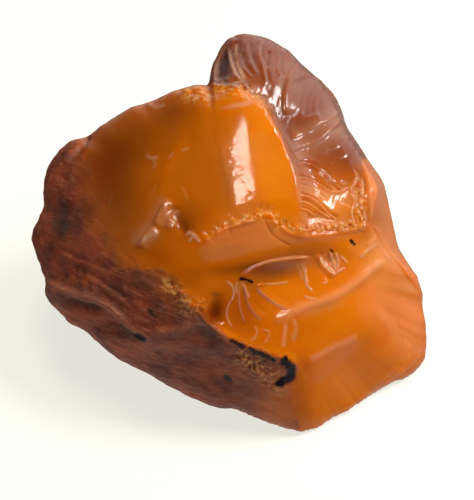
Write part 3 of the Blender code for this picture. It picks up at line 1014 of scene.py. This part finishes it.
def amber_material():
    """See-through resin with fresh and weathered surfaces, mixed by the values that paint() stored."""
    material = bpy.data.materials.new("amber")
    material.use_nodes = True
    tree = material.node_tree
    shader = tree.nodes["Principled BSDF"]
    output = tree.nodes["Material Output"]
    place = tree.nodes.new("ShaderNodeTexCoord").outputs["Object"]
    crust = painted(tree, "crust")
    crumb = painted(tree, "crumb")
    clouds = grain(tree, place, **CLOUDS)
    fibres = grain(tree, place, **FIBRES)
    patches = grain(tree, place, **PATCHES)
    grains = grain(tree, place, **GLINT_GRAINS)

    # Fresh resin: orange, deeper where more of it lies behind and where shade is painted, yellower where
    # light is painted glowing through it
    fresh = mixed(tree, calculated(tree, "MULTIPLY", clouds, CLOUD_SHARE), FRESH, FRESH_CLOUD)
    fresh = mixed(tree, painted(tree, "fin"), fresh, FIN)
    fresh = mixed(tree, painted(tree, "depth_and_shade"), fresh, DEEP_AND_SHADED)
    fresh = mixed(tree, painted(tree, "painted_glow"), fresh, PAINTED_GLOW)
    # Painted shade on the fin's dark facets
    fresh = mixed(tree, painted(tree, "painted_shade"), fresh, PAINTED_SHADE)
    # Painted glints: golden specks where the surface is crumbled
    fresh = mixed(tree, calculated(tree, "MULTIPLY", crumb, grains), fresh, CRUMB_GLINT)
    # Painted sheen and highlights, and pale frosted edges
    fresh = mixed(tree, painted(tree, "sheen_and_frost"), fresh, SHEEN_AND_FROST)
    # Weathered skin: red brown, with grey fibres and darker patches
    skin = mixed(tree, patches, SKIN, SKIN_DARK)
    skin = mixed(tree, calculated(tree, "MULTIPLY", fibres, FIBRE_SHARE), skin, SKIN_FIBRE)
    skin = mixed(tree, painted(tree, "rim"), skin, SKIN_FIBRE)
    # Painted glints on the crumbled crust too
    skin = mixed(tree, calculated(tree, "MULTIPLY", crumb, grains), skin, CRUMB_GLINT)
    skin = mixed(tree, painted(tree, "stain"), skin, STAIN)
    colour = mixed(tree, crust, fresh, skin)
    colour = mixed(tree, painted(tree, "soot"), colour, SOOT)
    tree.links.new(colour, shader.inputs["Base Color"])

    fresh_rough = calculated(tree, "MULTIPLY_ADD", patches, PATCH_ROUGHNESS, FRESH_ROUGHNESS)
    rough = tree.nodes.new("ShaderNodeMix")
    tree.links.new(crust, rough.inputs["Factor"])
    tree.links.new(fresh_rough, rough.inputs["A"])
    rough.inputs["B"].default_value = CRUST_ROUGHNESS
    tree.links.new(rough.outputs["Result"], shader.inputs["Roughness"])

    clear = calculated(tree, "MULTIPLY_ADD", crust, -FRESH_CLEAR, FRESH_CLEAR, clamp=True)
    tree.links.new(clear, shader.inputs["Transmission Weight"])
    shader.inputs["IOR"].default_value = AMBER_IOR
    shader.inputs["Subsurface Weight"].default_value = SCATTER
    shader.inputs["Subsurface Radius"].default_value = SCATTER_RADIUS
    shader.inputs["Subsurface Scale"].default_value = SCATTER_SCALE

    bump = tree.nodes.new("ShaderNodeBump")
    bump.inputs["Distance"].default_value = BUMP_DISTANCE
    relief = calculated(tree, "MULTIPLY_ADD", fibres, BUMP_FIBRES, patches)
    strength = calculated(tree, "MULTIPLY_ADD", crust, BUMP_CRUST, BUMP_FRESH)
    tree.links.new(relief, bump.inputs["Height"])
    tree.links.new(strength, bump.inputs["Strength"])
    tree.links.new(bump.outputs["Normal"], shader.inputs["Normal"])

    volume = tree.nodes.new("ShaderNodeVolumeAbsorption")
    volume.inputs["Color"].default_value = ABSORPTION_COLOUR
    volume.inputs["Density"].default_value = ABSORPTION_DENSITY
    tree.links.new(volume.outputs["Volume"], output.inputs["Volume"])
    return material


def floor():
    """A plain pale floor that isn't seen in the gloss of the piece."""
    bm = bmesh.new()
    bmesh.ops.create_grid(bm, x_segments=1, y_segments=1, size=FLOOR_SIZE)
    mesh = bpy.data.meshes.new("floor")
    bm.to_mesh(mesh)
    bm.free()
    made = bpy.data.objects.new("floor", mesh)
    bpy.context.scene.collection.objects.link(made)
    material = bpy.data.materials.new("floor")
    material.use_nodes = True
    shader = material.node_tree.nodes["Principled BSDF"]
    shader.inputs["Base Color"].default_value = FLOOR_COLOUR
    shader.inputs["Roughness"].default_value = FLOOR_ROUGHNESS
    shader.inputs["Emission Color"].default_value = FLOOR_GLOW
    shader.inputs["Emission Strength"].default_value = FLOOR_GLOW_STRENGTH
    mesh.materials.append(material)
    made.visible_glossy = False
    return made


def spread(tree, value, low, high, first, last):
    """A number spread smoothly from first at low to last at high."""
    node = tree.nodes.new("ShaderNodeMapRange")
    node.interpolation_type = "SMOOTHSTEP"
    node.inputs["From Min"].default_value = low
    node.inputs["From Max"].default_value = high
    node.inputs["To Min"].default_value = first
    node.inputs["To Max"].default_value = last
    tree.links.new(value, node.inputs["Value"])
    return node.outputs["Result"]


def world():
    """A studio that is bright behind the piece and dim below it, and dark above and in front."""
    made = bpy.data.worlds.new("world")
    bpy.context.scene.world = made
    made.use_nodes = True
    tree = made.node_tree
    background = tree.nodes["Background"]
    place = tree.nodes.new("ShaderNodeTexCoord")
    split = tree.nodes.new("ShaderNodeSeparateXYZ")
    tree.links.new(place.outputs["Generated"], split.inputs["Vector"])
    wall = spread(tree, split.outputs["Y"], *WALL_BEHIND)
    for axis, change in (("X", WALL_TO_RIGHT), ("Z", WALL_TOP), ("Z", WALL_BOTTOM)):
        wall = calculated(tree, "MULTIPLY", wall, spread(tree, split.outputs[axis], *change))
    bright = calculated(tree, "MAXIMUM", wall, spread(tree, split.outputs["Z"], *GLOW_BELOW))
    bright = calculated(tree, "MAXIMUM", bright, DARKNESS)
    tree.links.new(mixed(tree, bright, (0.0, 0.0, 0.0, 1.0), WALL), background.inputs["Color"])
    background.inputs["Strength"].default_value = 1.0


def area_light(name, azimuth, elevation, size, power, colour):
    """A soft light that faces the piece; azimuth 0 is behind it and 90 to its right."""
    data = bpy.data.lights.new(name, "AREA")
    data.shape = "DISK"
    data.size = size
    data.energy = power
    data.color = colour
    made = bpy.data.objects.new(name, data)
    bpy.context.scene.collection.objects.link(made)
    turn = math.radians(azimuth)
    rise = math.radians(elevation)
    away = Vector((
        math.sin(turn) * math.cos(rise),
        math.cos(turn) * math.cos(rise),
        math.sin(rise),
    ))
    made.location = Vector(MIDDLE) + away * LIGHT_DISTANCE
    made.rotation_euler = away.to_track_quat("Z", "Y").to_euler()
    return made


def lights():
    """The main light colours the piece but isn't seen in it; the small ones make its highlights."""
    main = area_light(*MAIN_LIGHT)
    main.visible_glossy = False
    main.visible_transmission = False
    area_light(*OVERHEAD_LIGHT)
    area_light(*BACK_LIGHT)


def amber_lump():
    """The whole piece: one closed mesh with its marks, its painted values and its material."""
    made = rough_lump("amber_piece")
    mesh = made.data
    soften(mesh)
    fit_outline(mesh)
    refine(mesh, lambda pixels, facing: facing > FACING)
    refine(mesh, lambda pixels, facing: (facing > FACING) & in_rich_zone(pixels))
    relax(mesh, np.full(len(mesh.vertices), RELAX_STEP), LAST_ROUNDS)
    settle(mesh, coordinates(mesh)[:, 2] < GROUND)
    sculpt(mesh)
    paint(mesh)
    mesh.shade_smooth()
    mesh.materials.clear()
    mesh.materials.append(amber_material())
    return made


camera()
world()
floor()
lights()
lump = amber_lump()
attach(lump, "root")
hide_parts("amber_piece")
bpy.context.scene.view_settings.view_transform = "Standard"
